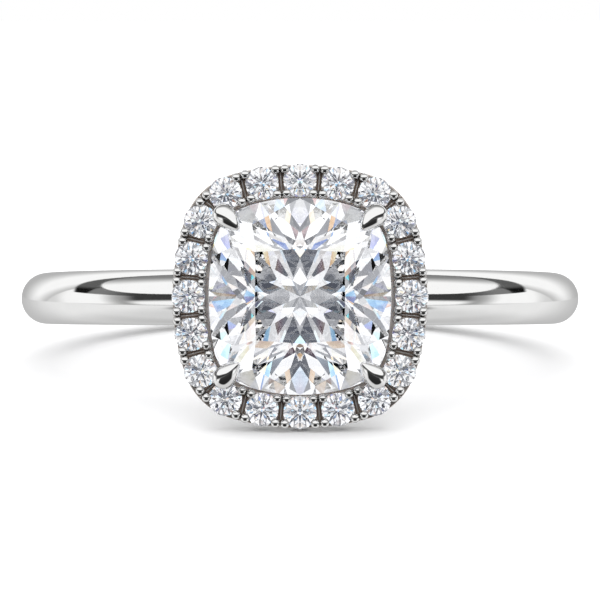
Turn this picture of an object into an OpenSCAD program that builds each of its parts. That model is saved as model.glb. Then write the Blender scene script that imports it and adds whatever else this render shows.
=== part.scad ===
// Halo ring lying on its side: a plain band, a cushion-cut centre stone in four teardrop
// claws, and a halo of twenty round stones held by beads. Millimetres, Z up. The ring rests
// on the rear of its band and on the lower edge of its halo, and the head points to -Y.

/* [Band] */
// Inside diameter of the band, where the finger goes
finger_d = 16.5; // [14:0.1:20]
// Width of the band along the finger
band_w = 1.8; // [1.5:0.1:2.6]
// Thickness of the band from the finger to its outer crown
band_t = 1.7; // [1.4:0.05:2.2]
// Rounding of the two inner edges
band_edge_r = 0.22; // [0.1:0.02:0.35]

/* [Centre stone] */
// Width of the centre stone across the finger
stone_w = 5.44; // [5.2:0.02:5.8]
// Length of the centre stone along the finger
stone_l = 5.89; // [5.6:0.02:6.2]
// Radius of the bulging sides of the centre stone
stone_side_r = 9.3; // [8:0.1:12]
// Radius of the bulging ends of the centre stone
stone_end_r = 5.16; // [4.8:0.02:6]
// Radius of the corners of the centre stone
stone_corner_r = 1.5; // [1.3:0.05:1.7]
// Thickness of the girdle of the centre stone
girdle_t = 0.1; // [0.06:0.02:0.2]
// Height of the crown of the centre stone
crown_h = 0.85; // [0.75:0.05:0.95]
// Depth of the pavilion of the centre stone
pavilion_d = 2.65; // [2.6:0.05:2.9]

/* [Halo] */
// Diameter of each small stone
halo_stone_d = 1; // [0.9:0.02:1.04]
// From the side of the centre stone to the middle of the row of small stones
halo_side_offset = 0.64; // [0.62:0.02:0.8]
// From the end of the centre stone to the middle of the row of small stones
halo_end_offset = 0.54; // [0.52:0.02:0.7]
// Radius of the halo's bulging sides and ends
halo_side_r = 7.07; // [6.6:0.05:8]
// Radius of the halo's corners
halo_corner_r = 1.65; // [1.5:0.05:1.9]
// Depth of the small stones' girdles below the centre stone's girdle
halo_drop = 0.25; // [0.15:0.05:0.5]
// Thickness of the halo plate that carries the small stones
plate_t = 0.77; // [0.65:0.05:1.1]
// How far the small stones reach past the plate's outer edge
stone_overhang = 0.03; // [0.01:0.01:0.06]
// How far the plate's inner edge reaches under the girdle of the centre stone
plate_reach = 0.04; // [0.02:0.01:0.08]

/* [Beads and claws] */
// Diameter of the beads that hold the small stones
bead_d = 0.236; // [0.2:0.01:0.26]
// How far a bead reaches over its stone
bead_grip = 0.05; // [0.03:0.01:0.08]
// Diameter of the round end of a claw
claw_d = 0.61; // [0.5:0.02:0.7]
// Length of a claw from its round end to its point
claw_l = 0.95; // [0.8:0.05:1.1]
// Diameter of the four prongs
prong_d = 0.5; // [0.4:0.02:0.6]
// Diameter of the round base rail, middle to middle of its wire
rail_d = 3.5; // [3:0.1:4]
// Thickness of the base rail's wire
rail_wire_d = 0.6; // [0.5:0.05:0.8]

/* [Clearances] */
// Space between the point of the centre stone and the band under it
point_gap = 0.05; // [0.03:0.01:0.2]
// Space between a stone and its seat
seat_gap = 0.025; // [0.015:0.005:0.04]

/* [Hidden] */
// Small stones in each quarter of the halo. The claw stands between the third and fourth
QUARTER_STONES = 5;
BEFORE_CLAW = 2;
AFTER_CLAW = 3;
STONES = 4 * QUARTER_STONES;

function halo_name(i) = str("halo_stone_", i < 9 ? "0" : "", i + 1);

METAL = [0.86, 0.86, 0.87];
DIAMOND = [0.88, 0.93, 1];

// Slopes of the centre stone's main crown facets at a side, a corner and an end
CROWN_SLOPES = [31.5, 32.4, 28.8];
// Share of the crown's height that the star facets take
STAR_SHARE = 0.47;
// Slope of the four corner kites round the centre stone's point
KITE_SLOPE = 37.9;
// Corners of those kites near a side and near an end, as shares of half the width and length
KITE_NEAR_SIDE = [0.2, 0.0856];
KITE_NEAR_END = [0.0879, 0.1637];
// Reach of the inner pavilion facets, as a share of the way to the girdle
KITE_REACH = 0.392;
// Depth of the ridge along a side facet and an end facet, as shares of the pavilion's depth
RIDGE_SHARES = [0.035, 0.023];

// Small stones, as shares of their diameter: crown, girdle, pavilion and table
HALO_CROWN = 0.15;
HALO_GIRDLE = 0.03;
HALO_PAVILION = 0.43;
HALO_TABLE = 0.56;
// Share of the crown's height below the star points, and reach of the lower girdle facets
HALO_STAR = 0.45;
HALO_LOWER = 0.77;

// Girdle points from one facet corner to the middle of the next facet
CENTRE_STEPS = 4;
HALO_STEPS = 2;

// The halo plate's top lies this far below the small stones' girdles
PLATE_STEP = 0.08;
// Beads: their distance from the middle of a bar, their height above the girdle, and their posts
BEAD_APART = 0.142;
BEAD_RISE = 0.08;
POST_SHARE = 0.82;
// Cuts in the plate's outer wall, one behind each small stone, and the holes under the stones
CUT_W = 0.52;
CUT_AT = 0.36;
HOLE_D = 0.36;
// A cut starts this far outside what it opens, and a post this far inside what carries it
MARGIN = 0.3;

// Claws: distance outside the girdle, height above it, lean on the crown, and blunt point
CLAW_TURN = 45;
CLAW_OUT = 0.137;
CLAW_RISE = 0.15;
CLAW_LEAN = 22;
CLAW_POINT_D = 0.08;
// Slope of the claws' seats under the girdle, a little steeper than the pavilion's corners
SEAT_SLOPE = 50;
// A bend in a prong is a ball this much thicker than the prong
BEND_SHARE = 1.04;

// Segments of round parts, and points along each quarter of the halo plate's outline
FINE = 96;
SMALL = 32;
QUARTER_POINTS = 20;

finger_r = finger_d / 2;
band_r = finger_r + band_t;
// The band's outer crown is round, and its widest point is where the crown starts
dome_r = band_w / 2;
dome_at = band_r - dome_r;

// Heights along the head's axis, from the middle of the finger hole
girdle_at = band_r + point_gap + pavilion_d + girdle_t / 2;
halo_at = girdle_at - halo_drop;
plate_top = halo_at - PLATE_STEP;
plate_bottom = plate_top - plate_t;

halo_stone_r = halo_stone_d / 2;
plate_half = halo_stone_r - stone_overhang;
bead_r = bead_d / 2;
bead_reach = halo_stone_r + bead_r - bead_grip;
prong_r = prong_d / 2;
claw_r = claw_d / 2;

function unit(a) = [cos(a), sin(a)];
function mix(a, b, t) = a + (b - a) * t;
function total(v, i = 0) = i < len(v) ? v[i] + total(v, i + 1) : 0;

// A cushion outline has a side arc, a corner arc and an end arc in each quarter, each given
// as [middle, radius, from, to]. The corner's circle touches the other two from inside, so
// its middle lies where two circles about their middles cross.
function cushion(half_w, half_l, side_r, end_r, corner_r) =
    let (
        side_mid = [half_w - side_r, 0],
        end_mid = [0, half_l - end_r],
        apart = norm(end_mid - side_mid),
        along = (end_mid - side_mid) / apart,
        reach = ((side_r - corner_r) ^ 2 - (end_r - corner_r) ^ 2 + apart ^ 2) / (2 * apart),
        off = sqrt((side_r - corner_r) ^ 2 - reach ^ 2),
        corner = side_mid + along * reach + [-along.y, along.x] * off,
        turn_a = atan2(corner.y, corner.x - side_mid.x),
        turn_b = atan2(corner.y - end_mid.y, corner.x)
    )
    [
        [side_mid, side_r, 0, turn_a],
        [corner, corner_r, turn_a, turn_b],
        [end_mid, end_r, turn_b, 90]
    ];

// A circle in the same form
function circle_outline(r) = [[[0, 0], r, 0, 45], [[0, 0], r, 45, 45], [[0, 0], r, 45, 90]];

function arc_length(arc) = arc[1] * (arc[3] - arc[2]) * PI / 180;
function quarter_length(outline) = total([for (arc = outline) arc_length(arc)]);
function corner_length(outline) = arc_length(outline[0]) + arc_length(outline[1]) / 2;

// [point, direction of the outward normal] at a length along the first quarter
function first_quarter(outline, s, i = 0) =
    let (arc = outline[i], l = arc_length(arc))
    s > l && i < len(outline) - 1
        ? first_quarter(outline, s - l, i + 1)
        : let (turn = arc[2] + s / arc[1] * 180 / PI) [arc[0] + arc[1] * unit(turn), turn];

// The same in any quarter, with s still measured from the side's middle towards the end's
function spot(outline, quarter, s) =
    let (
        first = first_quarter(outline, s),
        flip = [quarter == 1 || quarter == 2 ? -1 : 1, quarter >= 2 ? -1 : 1],
        turn = flip.x < 0 ? 180 - first[1] : first[1]
    )
    [[first[0].x * flip.x, first[0].y * flip.y], turn * flip.y];

// Share of a quarter that is left from the side's middle, for turns counted in quarters
function from_side(turns) =
    let (t = turns - floor(turns)) floor(turns) % 2 == 0 ? t : 1 - t;

// Spots evenly spaced by length
function even_spot(outline, turns) =
    spot(outline, floor(turns) % 4, from_side(turns) * quarter_length(outline));

// Spots spaced so that half way along a quarter is the middle of its corner
function facet_spot(outline, turns) =
    let (t = from_side(turns), middle = corner_length(outline))
    spot(
        outline,
        floor(turns) % 4,
        t <= 0.5 ? middle * 2 * t : mix(middle, quarter_length(outline), 2 * t - 1)
    );

// Planes are [height over the middle, slope vector], so a height is one dot product away
function plane_from(point, slope) = [point.z - slope * [point.x, point.y], slope];
function plane_through(a, b, c) =
    let (n = cross(b - a, c - a)) plane_from(a, [-n.x, -n.y] / n.z);
function on_plane(plane, xy) = [xy.x, xy.y, plane[0] + plane[1] * xy];
// Where two planes both have height z
function planes_meet(p, q, z) =
    let (d = p[1].x * q[1].y - p[1].y * q[1].x, u = z - p[0], v = z - q[0])
    [(u * q[1].y - v * p[1].y) / d, (v * p[1].x - u * q[1].x) / d, z];

// Girdle points of one edge row, eight facet corners and what lies between them. Half facet
// h runs from corner to middle or from middle to corner, and its plane holds its tip.
function row_point(outline, j, steps) = facet_spot(outline, j / (4 * steps))[0];
function girdle_row(outline, steps, z, tips) = [
    for (h = [0:15])
        let (
            start = row_point(outline, h * steps, steps),
            stop = row_point(outline, (h + 1) * steps, steps),
            plane = plane_through(tips[h], [start.x, start.y, z], [stop.x, stop.y, z])
        )
        for (i = [0:steps - 1]) on_plane(plane, row_point(outline, h * steps + i, steps))
];
function each_half(tips, ahead) = [for (h = [0:15]) tips[floor((h + ahead) / 2) % 8]];

// Crown of any stone: eight table corners and eight star points
function crown_planes(outline, z, slopes) = [
    for (k = [0:7])
        let (s = facet_spot(outline, k / 2), slope = slopes[k % 2 == 1 ? 1 : k % 4])
        plane_from([s[0].x, s[0].y, z], -tan(slope) * unit(s[1]))
];
function table_corners(outline, planes, top) = [
    for (k = [0:7])
        let (xy = facet_spot(outline, k / 2)[0])
        on_plane(planes[k], xy * (top - planes[k][0]) / (planes[k][1] * xy))
];
function star_points(planes, z) = [for (k = [0:7]) planes_meet(planes[k], planes[(k + 1) % 8], z)];

// One cut stone. Points come as eight table corners, eight star points, the upper and lower
// girdle rows, eight inner pavilion points, any outer ones, and the stone's point
module cut_stone(table, stars, upper, lower, inner, outer, point) {
    n = len(upper);
    step = n / 16;
    at_upper = 16;
    at_lower = at_upper + n;
    at_inner = at_lower + n;
    at_outer = at_inner + 8;
    at_point = at_outer + len(outer);
    tiers = len(outer) > 0;
    crown_faces = [
        [for (k = [7:-1:0]) k],
        for (k = [0:7]) [(k + 1) % 8, 8 + k, k],
        for (k = [0:7]) [8 + k, at_upper + 2 * k * step, 8 + (k + 7) % 8, k],
        for (h = [0:15])
            [
                for (i = [step:-1:0]) at_upper + (h * step + i) % n,
                8 + floor(h / 2)
            ]
    ];
    girdle_faces = [
        for (j = [0:n - 1])
            [at_upper + j, at_upper + (j + 1) % n, at_lower + (j + 1) % n, at_lower + j]
    ];
    lower_faces = [
        for (h = [0:15])
            [
                tiers ? at_outer + floor((h + 1) / 2) % 8 : at_inner + floor(h / 2),
                for (i = [0:step]) at_lower + (h * step + i) % n
            ]
    ];
    one_tier = [
        for (k = [0:7])
            [at_point, at_inner + (k + 7) % 8, at_lower + 2 * k * step, at_inner + k]
    ];
    two_tiers = [
        for (k = [0:2:6]) [at_point, at_inner + (k + 7) % 8, at_outer + k],
        for (k = [0:2:6]) [at_point, at_outer + k, at_inner + k],
        for (k = [1:2:7]) [at_point, at_inner + k - 1, at_outer + k, at_inner + k],
        for (k = [0:7]) [at_inner + k, at_outer + k, at_lower + (2 * k + 1) * step],
        for (k = [0:7]) [at_inner + k, at_lower + (2 * k + 1) * step, at_outer + (k + 1) % 8]
    ];
    polyhedron(
        concat(table, stars, upper, lower, inner, outer, [point]),
        concat(crown_faces, girdle_faces, lower_faces, tiers ? two_tiers : one_tier)
    );
}

function girdle_outline(offset) = cushion(
    stone_w / 2 + offset,
    stone_l / 2 + offset,
    stone_side_r + offset,
    stone_end_r + offset,
    stone_corner_r + offset
);
stone_outline = girdle_outline(0);

// The centre stone about the middle of its girdle, table up
module centre_cut() {
    half = [stone_w / 2, stone_l / 2];
    z = girdle_t / 2;
    point = [0, 0, -z - pavilion_d];
    planes = crown_planes(stone_outline, z, CROWN_SLOPES);
    stars = star_points(planes, z + crown_h * (1 - STAR_SHARE));
    corners = [for (k = [0:7]) facet_spot(stone_outline, k / 2)];
    // Each corner kite is one plane through the stone's point
    kites = [for (k = [0:7]) plane_from(point, tan(KITE_SLOPE) * unit(corners[k][1]))];
    inner = [
        for (k = [0:7])
            let (
                corner = k - k % 2 + 1,
                share = k % 4 == 0 || k % 4 == 3 ? KITE_NEAR_SIDE : KITE_NEAR_END,
                xy = [
                    share[0] * half.x * sign(corners[corner][0].x),
                    share[1] * half.y * sign(corners[corner][0].y)
                ]
            )
            on_plane(kites[corner], xy)
    ];
    outer = [
        for (k = [0:7])
            let (
                xy = corners[k][0] * KITE_REACH,
                flat = plane_through(point, inner[(k + 7) % 8], inner[k])
            )
            k % 2 == 1
                ? on_plane(kites[k], xy)
                : on_plane(flat, xy) - [0, 0, RIDGE_SHARES[k % 4 / 2] * pavilion_d]
    ];
    cut_stone(
        table_corners(stone_outline, planes, z + crown_h),
        stars,
        girdle_row(stone_outline, CENTRE_STEPS, z, each_half(stars, 0)),
        girdle_row(stone_outline, CENTRE_STEPS, -z, each_half(outer, 1)),
        inner,
        outer,
        point
    );
}

// A small round brilliant about the middle of its girdle, table up
module round_cut() {
    r = halo_stone_r;
    outline = circle_outline(r);
    z = HALO_GIRDLE * halo_stone_d / 2;
    crown = HALO_CROWN * halo_stone_d;
    slope = atan2(crown, r * (1 - HALO_TABLE));
    point = [0, 0, -z - HALO_PAVILION * halo_stone_d];
    planes = crown_planes(outline, z, [slope, slope, slope]);
    stars = star_points(planes, z + crown * HALO_STAR);
    inner = [
        for (k = [0:7])
            let (
                main = plane_from(point, -(point.z + z) / r * unit(45 * k)),
                xy = r * (1 - HALO_LOWER) * unit(45 * k + 22.5)
            )
            on_plane(main, xy)
    ];
    cut_stone(
        table_corners(outline, planes, z + crown),
        stars,
        girdle_row(outline, HALO_STEPS, z, each_half(stars, 0)),
        girdle_row(outline, HALO_STEPS, -z, each_half(inner, 0)),
        inner,
        [],
        point
    );
}

function halo_outline(offset) = cushion(
    stone_w / 2 + halo_side_offset + offset,
    stone_l / 2 + halo_end_offset + offset,
    halo_side_r + offset,
    halo_side_r + offset,
    halo_corner_r + offset
);
halo_row = halo_outline(0);
function halo_spot(i) = even_spot(halo_row, i / QUARTER_STONES);

// Resting pose: the floor touches the band's round crown at the rear and the plate's lower edge
halo_half = stone_l / 2 + halo_end_offset + plate_half;
tilt = atan2(halo_half, plate_bottom + dome_at)
    - asin(dome_r / norm([plate_bottom + dome_at, halo_half]));
rest_z = dome_r + dome_at * sin(tilt);
// The box runs from the table's lower edge to the rear of the band
table_at = girdle_at + girdle_t / 2 + crown_h;
table_half = stone_l / 2 - crown_h / tan(CROWN_SLOPES[2]);
front = table_at * cos(tilt) + table_half * sin(tilt);
rear = dome_at * cos(tilt) + dome_r;
rest_y = (front - rear) / 2;

module resting() {
    translate([0, rest_y, rest_z]) rotate([-tilt, 0, 0]) children();
}

// The head's own frame: Z runs out through the table, Y along the finger
module in_head(height = 0) {
    resting() rotate([90, 0, 0]) translate([0, 0, height]) children();
}

// The same at one of the row's stones, with X pointing out of the row
module at_halo_spot(i) {
    place = halo_spot(i);
    translate([place[0].x, place[0].y, halo_at]) rotate(place[1]) children();
}

// Half-round wire with a flat inside and two rounded inner edges
module band() {
    rotate_extrude($fn = FINE) {
        translate([dome_at, 0]) circle(dome_r, $fn = SMALL * 2);
        translate([finger_r + band_edge_r, -dome_r])
            square([dome_at - finger_r - band_edge_r, band_w]);
        translate([finger_r, band_edge_r - dome_r])
            square([dome_at - finger_r, band_w - 2 * band_edge_r]);
        for (side = [-1, 1])
            translate([finger_r + band_edge_r, side * (dome_r - band_edge_r)])
                circle(band_edge_r, $fn = SMALL);
    }
}

module rod(from, to, r) {
    along = to - from;
    translate(from)
        rotate([0, acos(along.z / norm(along)), atan2(along.y, along.x)])
            cylinder(h = norm(along), r = r, $fn = SMALL);
}

module base_rail() {
    translate([0, 0, band_r])
        rotate_extrude($fn = FINE)
            translate([rail_d / 2, 0]) circle(rail_wire_d / 2, $fn = SMALL);
}

// Middle of a claw's round end, outside the corner of the centre stone
claw_spot = stone_outline[1][0] + (stone_corner_r + CLAW_OUT) * unit(CLAW_TURN);

// A teardrop turned about its length: a ball whose sides run straight to a blunt point
module claw() {
    reach = claw_l - claw_r;
    point_r = CLAW_POINT_D / 2;
    touch = asin((claw_r - point_r) / (reach - point_r));
    half = concat(
        [[0, -claw_r]],
        [for (a = [-75:15:touch]) claw_r * unit(a)],
        [claw_r * unit(touch)],
        [[point_r * cos(touch), reach - point_r + point_r * sin(touch)]],
        [[0, reach]]
    );
    rotate([0, 90 - CLAW_LEAN, 180 + CLAW_TURN])
        rotate_extrude($fn = SMALL) polygon(half);
}

// Room in a claw for the corner of the centre stone, turned about the middle of its corner arc
module corner_seat() {
    corner = stone_outline[1][0];
    r = stone_corner_r + seat_gap;
    z = girdle_t / 2 + seat_gap;
    translate([corner.x, corner.y, girdle_at])
        rotate_extrude($fn = SMALL * 2)
            polygon([
                [0, -z - r * tan(SEAT_SLOPE)], [r, -z], [r, z], [0, z + r * tan(CROWN_SLOPES[1])]
            ]);
}

module prong_and_claw() {
    bend = [claw_spot.x, claw_spot.y, plate_bottom + plate_t / 2];
    top = [claw_spot.x, claw_spot.y, girdle_at + CLAW_RISE];
    foot = [unit(CLAW_TURN).x, unit(CLAW_TURN).y, 0] * rail_d / 2 + [0, 0, band_r];
    rod(foot, bend, prong_r);
    translate(bend) sphere(prong_r * BEND_SHARE, $fn = SMALL);
    rod(bend, top, prong_r);
    translate(top) claw();
}

module in_each_corner() {
    for (flip_x = [0, 1], flip_y = [0, 1])
        mirror([flip_x, 0, 0]) mirror([0, flip_y, 0]) children();
}

module filled(outline) {
    count = 4 * QUARTER_POINTS;
    polygon([for (i = [0:count - 1]) even_spot(outline, i / QUARTER_POINTS)[0]]);
}

module halo_plate() {
    translate([0, 0, plate_bottom])
        linear_extrude(plate_t)
            difference() {
                filled(halo_outline(plate_half));
                filled(girdle_outline(-plate_reach));
            }
}

// The inner bead is left out where a claw stands in its place
function has_bead(i, side, out) =
    out > 0 || !(i % QUARTER_STONES == (side > 0 ? BEFORE_CLAW : AFTER_CLAW));

// Middle of a bead beside the bar at one side of its stone, where it just grips the stone
function bead_spot(i, side, out) =
    let (
        stone = halo_spot(i)[0],
        bar = halo_spot((i + side / 2 + STONES) % STONES),
        ahead = unit(bar[1]),
        beside = bar[0] + [ahead.y, -ahead.x] * side * BEAD_APART,
        off = beside - stone,
        middle = off * ahead
    )
    beside + ahead * (out * sqrt(bead_reach * bead_reach - off * off + middle * middle) - middle);

module beads() {
    for (i = [0:STONES - 1], side = [-1, 1], out = [-1, 1])
        if (has_bead(i, side, out))
            translate([bead_spot(i, side, out).x, bead_spot(i, side, out).y, halo_at])
                rotate(halo_spot(i)[1]) {
                    translate([0, 0, -PLATE_STEP - MARGIN])
                        cylinder(
                            h = PLATE_STEP + MARGIN + BEAD_RISE, r = bead_r * POST_SHARE, $fn = SMALL
                        );
                    translate([0, 0, BEAD_RISE]) sphere(bead_r, $fn = SMALL);
                }
}

// Room for one small stone, a drilled hole under it and a cut in the wall behind it
module halo_seat() {
    r = halo_stone_r + seat_gap;
    z = HALO_GIRDLE * halo_stone_d / 2 + seat_gap;
    steep = HALO_PAVILION * halo_stone_d / halo_stone_r;
    crown = HALO_CROWN * halo_stone_d;
    table_r = halo_stone_r * HALO_TABLE + seat_gap;
    rotate_extrude($fn = SMALL * 2)
        polygon([[0, -z - r * steep], [r, -z], [r, z], [table_r, z + crown], [0, z + crown]]);
    translate([0, 0, -PLATE_STEP - plate_t - MARGIN])
        cylinder(h = plate_t + MARGIN, d = HOLE_D, $fn = SMALL);
    arch = [for (a = [180:20:360]) CUT_W / 2 * unit(a)];
    translate([0, 0, -CUT_AT])
        rotate([90, 0, 90])
            linear_extrude(plate_half + MARGIN)
                polygon(concat(arch, [[CUT_W / 2, CUT_AT], [-CUT_W / 2, CUT_AT]]));
}

module ring_metal() {
    color(METAL)
        difference() {
            union() {
                resting() band();
                in_head() {
                    base_rail();
                    in_each_corner() prong_and_claw();
                    halo_plate();
                    beads();
                }
            }
            in_head() for (i = [0:STONES - 1]) at_halo_spot(i) halo_seat();
            in_head() in_each_corner() corner_seat();
        }
}

module center_stone() {
    color(DIAMOND) in_head(girdle_at) centre_cut();
}

module halo_stone(i) {
    color(DIAMOND) in_head() at_halo_spot(i) round_cut();
}

ring_metal();
center_stone();
for (i = [0:STONES - 1])
    halo_stone(i);
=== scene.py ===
"""Halo ring: the looks of a plain band, a cushion-cut centre stone and its halo of small stones.

The ring lies on its side. Its head has a frame of its own: x to the right, y along the finger
and z out through the table of the centre stone, measured from the middle of the finger hole.
"""

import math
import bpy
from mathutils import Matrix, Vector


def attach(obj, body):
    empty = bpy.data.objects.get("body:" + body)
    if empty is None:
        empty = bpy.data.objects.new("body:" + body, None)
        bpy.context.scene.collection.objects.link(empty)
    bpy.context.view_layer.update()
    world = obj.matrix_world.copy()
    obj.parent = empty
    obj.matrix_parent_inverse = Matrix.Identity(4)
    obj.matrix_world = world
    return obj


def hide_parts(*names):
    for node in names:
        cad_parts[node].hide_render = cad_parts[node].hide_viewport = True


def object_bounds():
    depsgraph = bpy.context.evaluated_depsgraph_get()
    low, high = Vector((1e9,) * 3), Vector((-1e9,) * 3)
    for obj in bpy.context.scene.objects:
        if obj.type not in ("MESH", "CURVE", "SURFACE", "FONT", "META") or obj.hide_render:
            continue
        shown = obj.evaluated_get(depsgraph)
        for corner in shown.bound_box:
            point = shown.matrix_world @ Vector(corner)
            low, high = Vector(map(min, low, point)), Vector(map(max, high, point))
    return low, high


bl_info = {
    "name": "Halo ring",
    "version": (1, 0, 0),
    "blender": (4, 5, 0),
    "location": "3D View > Sidebar > Halo ring",
    "description": "Builds the metal, the stones' finish and the studio of a halo ring",
    "category": "Object",
}

from types import SimpleNamespace

import bmesh
import bpy
import numpy as np
from bpy.props import FloatProperty, FloatVectorProperty, PointerProperty
from mathutils import Matrix, Vector

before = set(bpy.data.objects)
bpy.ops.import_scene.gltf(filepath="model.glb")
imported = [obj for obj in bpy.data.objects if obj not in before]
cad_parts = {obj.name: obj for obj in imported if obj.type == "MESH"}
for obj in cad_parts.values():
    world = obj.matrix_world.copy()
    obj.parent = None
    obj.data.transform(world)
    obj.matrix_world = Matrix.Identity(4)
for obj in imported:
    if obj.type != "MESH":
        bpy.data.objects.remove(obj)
CAD_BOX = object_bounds()

MM = 0.001
QUARTER_STONES = 5
STONES = 4 * QUARTER_STONES
BEFORE_CLAW = 2
AFTER_CLAW = 3
STONE_NODES = ["center_stone"] + [f"halo_stone_{i + 1:02d}" for i in range(STONES)]


def length(name, description, millimetres):
    """A length that the user may change, kept in metres."""
    return FloatProperty(
        name=name, description=description, default=millimetres * MM, unit="LENGTH", precision=6
    )


class HaloRingSizes(bpy.types.PropertyGroup):
    """Sizes of the ring, the same as in the CAD source"""

    finger_d: length("Finger", "Inside diameter of the band", 16.5)
    band_w: length("Band width", "Width of the band along the finger", 1.8)
    band_t: length("Band thickness", "From the finger to the band's crown", 1.7)
    band_edge_r: length("Band edges", "Rounding of the two inner edges", 0.22)
    stone_w: length("Stone width", "Width of the centre stone", 5.44)
    stone_l: length("Stone length", "Length of the centre stone", 5.89)
    stone_side_r: length("Stone sides", "Radius of the stone's sides", 9.3)
    stone_end_r: length("Stone ends", "Radius of the stone's ends", 5.16)
    stone_corner_r: length("Stone corners", "Radius of the stone's corners", 1.5)
    girdle_t: length("Girdle", "Thickness of the centre stone's girdle", 0.1)
    pavilion_d: length("Pavilion", "Depth of the centre stone's pavilion", 2.65)
    halo_stone_d: length("Small stones", "Diameter of each small stone", 1.0)
    halo_side_offset: length("Halo at the sides", "From the centre stone to the row", 0.64)
    halo_end_offset: length("Halo at the ends", "From the centre stone to the row", 0.54)
    halo_side_r: length("Halo sides", "Radius of the halo's sides and ends", 7.07)
    halo_corner_r: length("Halo corners", "Radius of the halo's corners", 1.65)
    halo_drop: length("Halo drop", "Small girdles below the centre girdle", 0.25)
    plate_t: length("Plate", "Thickness of the halo plate", 0.77)
    plate_step: length("Plate step", "Plate's top below the small girdles", 0.08)
    plate_reach: length("Plate reach", "Plate's inner edge under the centre girdle", 0.04)
    stone_overhang: length("Overhang", "Small stones past the plate's outer edge", 0.03)
    bead_d: length("Beads", "Diameter of the beads", 0.236)
    bead_grip: length("Bead grip", "How far a bead reaches over its stone", 0.05)
    bead_rise: length("Bead rise", "Bead's middle above the small girdles", 0.08)
    claw_d: length("Claws", "Diameter of a claw's round end", 0.61)
    claw_l: length("Claw length", "From a claw's round end to its point", 0.95)
    claw_out: length("Claw place", "Claw's middle outside the girdle", 0.137)
    claw_rise: length("Claw rise", "Claw's middle above the girdle", 0.15)
    prong_d: length("Prongs", "Diameter of the four prongs", 0.5)
    rail_d: length("Base rail", "Diameter of the base rail", 3.5)
    rail_wire_d: length("Rail wire", "Thickness of the base rail's wire", 0.6)
    point_gap: length("Point gap", "From the stone's point to the band", 0.05)
    seat_gap: length("Seat gap", "Space between a stone and its seat", 0.025)


class HaloRingFinish(bpy.types.PropertyGroup):
    """Colours of the metal, painted shade for the recesses, bead rims and well, and optical values of
    the stones
    """

    metal: FloatVectorProperty(
        name="White gold", description="Colour of the polished metal",
        subtype="COLOR", size=3, min=0, max=1, default=(0.93, 0.93, 0.925),
    )
    # Painted shade: a brown-grey that stands in for the shade on the plate between the stones.
    recess_shade: FloatVectorProperty(
        name="Recesses", description="Colour of the metal between the stones",
        subtype="COLOR", size=3, min=0, max=1, default=(0.62, 0.55, 0.5),
    )
    # Painted shade: a dark brown on the beads' lower part, where they meet the plate, standing in for
    # the shade there.
    rim: FloatVectorProperty(
        name="Bead rims", description="Colour of the beads where they meet the plate",
        subtype="COLOR", size=3, min=0, max=1, default=(0.17, 0.15, 0.135),
    )
    # Painted shade: a near-black on the plate's wall under the centre stone, standing in for the shade
    # there. The wall is also rougher.
    well: FloatVectorProperty(
        name="Well", description="Colour of the plate's unpolished wall under the centre stone",
        subtype="COLOR", size=3, min=0, max=1, default=(0.06, 0.06, 0.065),
    )
    polish: FloatProperty(
        name="Polish", description="Roughness of the polished metal",
        subtype="FACTOR", min=0, max=1, default=0.045,
    )
    refraction: FloatProperty(
        name="Refraction", description="Index of refraction of the stones", min=1, default=2.42
    )


class HaloRingStudio(bpy.types.PropertyGroup):
    """Camera and floor"""

    distance: length("Camera distance", "From the middle of the ring along the table's axis", 74.5)
    drop: length("Camera drop", "Camera below the table's axis", 0.4)
    aim: length("Camera aim", "Point looked at, below the middle of the ring", 0.05)
    lens: FloatProperty(
        name="Lens", description="Focal length for a 36 mm sensor", default=124, unit="CAMERA"
    )
    floor: length("Floor", "Width of the floor", 3000)


def ring_sizes():
    """The sizes in millimetres, with the heights that follow from them."""
    group = bpy.context.scene.halo_ring_sizes
    s = SimpleNamespace(**{k: getattr(group, k) / MM for k in HaloRingSizes.__annotations__})
    s.finger_r = s.finger_d / 2
    s.band_r = s.finger_r + s.band_t
    s.dome_r = s.band_w / 2
    s.dome_at = s.band_r - s.dome_r
    s.girdle_at = s.band_r + s.point_gap + s.pavilion_d + s.girdle_t / 2
    s.halo_at = s.girdle_at - s.halo_drop
    s.plate_top = s.halo_at - s.plate_step
    s.plate_bottom = s.plate_top - s.plate_t
    s.stone_r = s.halo_stone_d / 2
    s.plate_half = s.stone_r - s.stone_overhang
    s.bead_r = s.bead_d / 2
    return s


def head_pose():
    """The head's tilt off the floor in radians, and the place of the ring's middle, in
    millimetres. The floor touches the rear of the band and the lower edge of the plate."""
    s = ring_sizes()
    half = s.stone_l / 2 + s.halo_end_offset + s.plate_half
    reach = s.plate_bottom + s.dome_at
    tilt = math.atan2(half, reach) - math.asin(s.dome_r / math.hypot(reach, half))
    rear = s.dome_at * math.cos(tilt) + s.dome_r
    middle = (0, CAD_BOX[1].y / MM - rear, s.dome_r + s.dome_at * math.sin(tilt))
    return tilt, middle


def to_floor(points):
    """Head frame to the shared frame, in metres: stand the head's axis on -Y, tilt it up and
    lift it to where the ring rests."""
    tilt, middle = head_pose()
    x, y, z = np.moveaxis(np.asarray(points, float), -1, 0)
    c, n = math.cos(tilt), math.sin(tilt)
    placed = np.stack([x, y * n - z * c, y * c + z * n], -1)
    return (placed + middle) * MM


def turned(points, turn, place):
    """Points of a piece's own frame turned about z by an angle, in radians, and put at x, y, z."""
    x, y, z = np.moveaxis(points, -1, 0)
    c, n = math.cos(turn), math.sin(turn)
    return np.stack([x * c - y * n, x * n + y * c, z], -1) + place


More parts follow.
